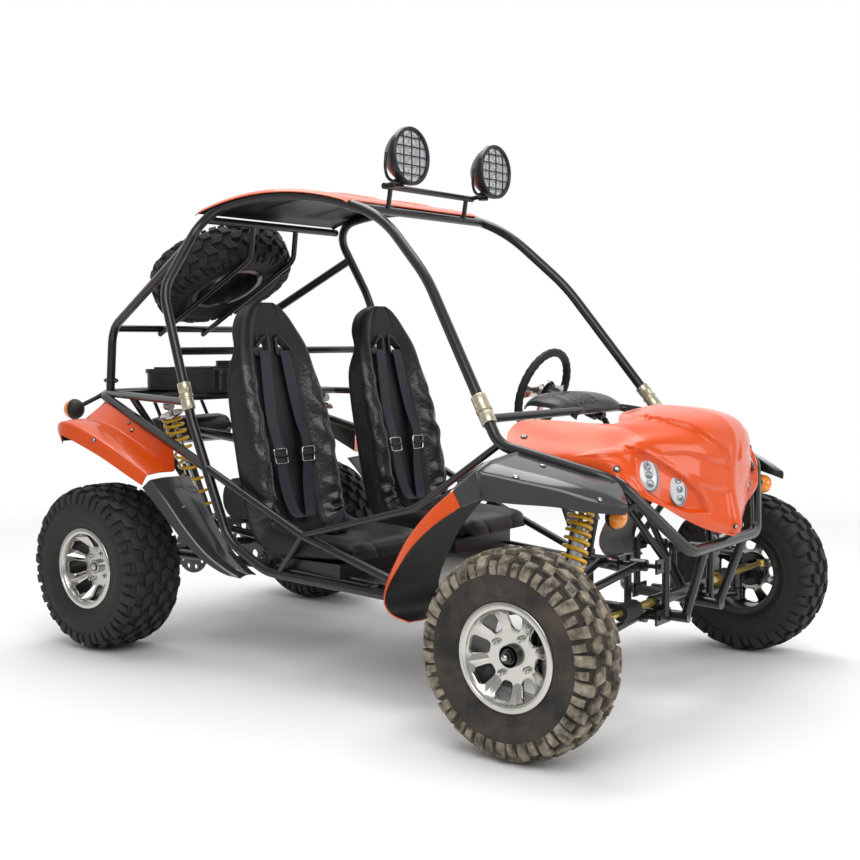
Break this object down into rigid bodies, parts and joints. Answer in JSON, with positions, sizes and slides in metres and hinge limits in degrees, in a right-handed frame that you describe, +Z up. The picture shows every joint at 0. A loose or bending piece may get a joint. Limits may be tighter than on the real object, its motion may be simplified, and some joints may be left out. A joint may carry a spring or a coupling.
{
  "type": "two-seat off-road buggy kart",
  "caption": "Open off-road buggy kart with a tubular roll cage, bucket seats, knobby tyres, steered front wheels, orange panels, roof lights and a spare wheel.",
  "frame": {"origin": "on the ground, at the middle of the kart's length and width", "axes": "+X forward, +Y to the driver's left, +Z up"},
  "size_m": [2.4518, 1.585, 1.7249],
  "materials": {
    "black_paint": "semi-gloss",
    "orange_panel": "gloss",
    "grey_panel": "gloss",
    "black_plastic": "satin",
    "tyre_rubber": "matte",
    "alloy": "machined",
    "zinc_plate": "plated",
    "spring_paint": "gloss",
    "leatherette": "satin",
    "clear_lens": "clear",
    "amber_lens": "gloss",
    "engine_alloy": "cast"
  },
  "bodies": {
    "chassis": {"cage_sides": "black_paint", "cage_cross_tubes": "black_paint", "rear_stays": "black_paint", "front_loop": "black_paint", "sills": "black_paint", "side_braces": "black_paint", "rear_loop": "black_paint", "rear_frame": "black_paint", "floor_frame": "black_paint", "front_bulkhead": "black_paint", "floor_pan": "black_paint", "light_bar": "black_paint", "spare_rack": "black_paint", "muffler": "black_paint", "upper_arms": "black_paint", "lower_arms": "black_paint", "swing_arm": "black_paint", "pedals": "black_paint", "rack_housing": "black_paint", "roof_panel": "orange_panel", "hood": "orange_panel", "front_mudguards": "orange_panel", "rear_fenders": "orange_panel", "front_fenders": "grey_panel", "rear_mudguards": "grey_panel", "seat_base": "black_plastic", "dash_cowl": "black_plastic", "spotlights": "black_plastic", "fuel_tank": "black_plastic", "spare_tyre": "tyre_rubber", "spare_rim": "alloy", "dampers": "alloy", "cage_sleeves": "zinc_plate", "springs": "spring_paint", "seats": "leatherette", "headlamps": "clear_lens", "turn_signals": "amber_lens", "engine": "engine_alloy"},
    "knuckle_right": {"knuckle_right": "black_paint"},
    "knuckle_left": {"knuckle_left": "black_paint"},
    "front_wheel_right": {"front_rim_right": "alloy", "front_tyre_right": "tyre_rubber", "front_hub_right": "black_paint"},
    "front_wheel_left": {"front_rim_left": "alloy", "front_tyre_left": "tyre_rubber", "front_hub_left": "black_paint"},
    "rear_axle": {"rear_axle": "black_paint", "rear_rims": "alloy", "rear_tyres": "tyre_rubber"},
    "steering_wheel": {"steering_wheel": "black_plastic"},
    "steering_shaft": {"steering_shaft": "black_paint"},
    "steering_rack": {"steering_rack": "zinc_plate"}
  },
  "joints": [
    {"name": "steering", "type": "hinge", "parent": "chassis", "child": "knuckle_right", "pos_m": [0.948, -0.62, 0.27], "axis": [0, 0, 1], "range_deg": [-32, 32]},
    {"name": "left_steering", "type": "hinge", "parent": "chassis", "child": "knuckle_left", "pos_m": [0.948, 0.62, 0.27], "axis": [0, 0, 1], "range_deg": [-32, 32]},
    {"name": "rack_slide", "type": "slide", "parent": "chassis", "child": "steering_rack", "axis": [0, 1, 0], "range_m": [-0.0479, 0.0479]},
    {"name": "steering_wheel_turn", "type": "hinge", "parent": "chassis", "child": "steering_wheel", "pos_m": [0.379, 0.31, 0.893], "axis": [-0.9397, 0, 0.342], "range_deg": [-200.5, 200.5]},
    {"name": "steering_shaft_turn", "type": "hinge", "parent": "chassis", "child": "steering_shaft", "pos_m": [1.038, 0.03, 0.318], "axis": [-0.601, 0.3968, 0.6937], "range_deg": [-200.5, 200.5]},
    {"name": "front_right_spin", "type": "hinge", "parent": "knuckle_right", "child": "front_wheel_right", "pos_m": [0.948, -0.71, 0.27], "axis": [0, 1, 0], "continuous": true},
    {"name": "front_left_spin", "type": "hinge", "parent": "knuckle_left", "child": "front_wheel_left", "pos_m": [0.948, 0.71, 0.27], "axis": [0, 1, 0], "continuous": true},
    {"name": "rear_axle_spin", "type": "hinge", "parent": "chassis", "child": "rear_axle", "pos_m": [-0.896, 0, 0.288], "axis": [0, 1, 0], "continuous": true}
  ],
  "couplings": [
    {"joint": "left_steering", "follows": "steering", "ratio": 1},
    {"joint": "rack_slide", "follows": "steering", "m_per_rad": 0.08539},
    {"joint": "steering_wheel_turn", "follows": "steering", "ratio": 6.25},
    {"joint": "steering_shaft_turn", "follows": "steering", "ratio": 6.25}
  ]
}
